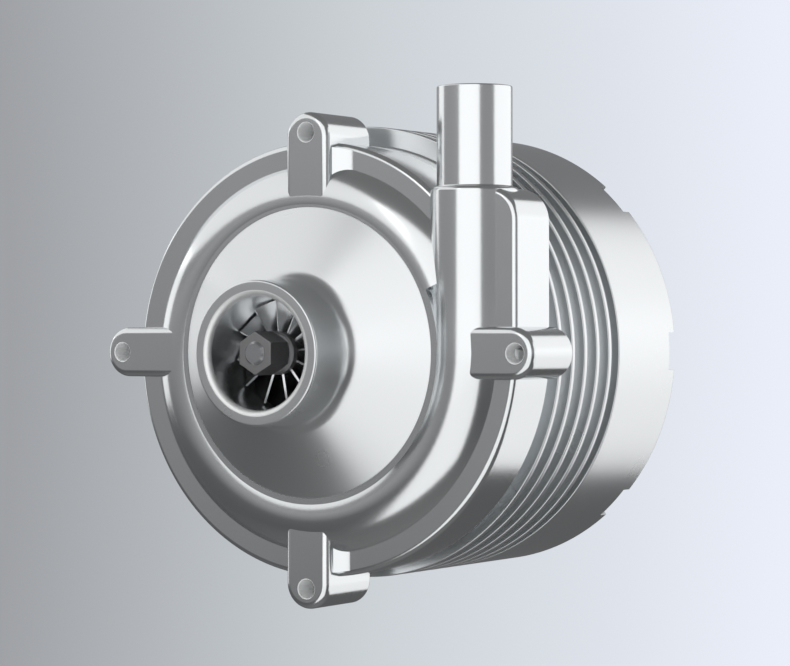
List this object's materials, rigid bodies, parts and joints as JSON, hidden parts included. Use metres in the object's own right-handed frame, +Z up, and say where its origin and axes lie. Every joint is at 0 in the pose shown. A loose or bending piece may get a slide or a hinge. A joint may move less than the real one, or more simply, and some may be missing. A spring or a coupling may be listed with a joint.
{
  "type": "brushless blower",
  "caption": "Compact centrifugal blower: die-cast scroll with a round inlet and an upright outlet pipe, mounting ears, and a finned round motor housing behind it.",
  "frame": {"origin": "on the shaft's axis, in the plane of the mounting ears' front faces", "axes": "+Y along the shaft, from the inlet to the motor; +Z up, along the outlet pipe; +X to the right seen from the inlet"},
  "size_m": [0.1099, 0.0982, 0.1115],
  "materials": {
    "silver": "satin to polished",
    "dark_alloy": "satin",
    "dark_steel": "matt",
    "steel": "ground",
    "seal": "matt",
    "cage": "satin",
    "magnet": "matt",
    "insulator": "matt",
    "copper": "enamelled copper",
    "board": "solder mask",
    "component": "matt",
    "brass": "satin",
    "lead": "insulated wire"
  },
  "bodies": {
    "housing": {"inlet_cover": "silver", "scroll_housing": "silver", "outlet_pipe": "silver", "back_plate": "silver", "back_plate_screws": "steel", "shaft_seal": "seal", "sealing_ring": "seal", "motor_housing": "silver", "front_bearing_outer": "steel", "rear_bearing_outer": "steel", "preload_spring": "steel", "stator_core": "steel", "slot_insulators": "insulator", "windings": "copper", "end_shield": "silver", "end_shield_screws": "steel", "driver_board": "board", "board_components": "component", "board_standoffs": "brass", "board_screws": "steel", "phase_leads": "lead", "cover_posts": "brass", "rear_cover": "silver", "rear_cover_screws": "steel"},
    "rotor": {"impeller": "dark_alloy", "impeller_nut": "dark_steel", "nut_washer": "steel", "shaft": "steel", "front_bearing_inner": "steel", "rear_bearing_inner": "steel", "rotor_core": "steel", "rotor_magnets": "magnet", "magnet_sleeve": "steel"},
    "front_ball_set": {"front_bearing_balls": "steel", "front_bearing_cage": "cage"},
    "rear_ball_set": {"rear_bearing_balls": "steel", "rear_bearing_cage": "cage"}
  },
  "joints": [
    {"name": "rotor_spin", "type": "hinge", "parent": "housing", "child": "rotor", "pos_m": [0, 0, 0], "axis": [0, -1, 0], "continuous": true},
    {"name": "front_balls_roll", "type": "hinge", "parent": "housing", "child": "front_ball_set", "pos_m": [0, 0, 0], "axis": [0, -1, 0], "continuous": true},
    {"name": "rear_balls_roll", "type": "hinge", "parent": "housing", "child": "rear_ball_set", "pos_m": [0, 0, 0], "axis": [0, -1, 0], "continuous": true}
  ],
  "couplings": [
    {"joint": "front_balls_roll", "follows": "rotor_spin", "ratio": 0.37},
    {"joint": "rear_balls_roll", "follows": "rotor_spin", "ratio": 0.37}
  ]
}
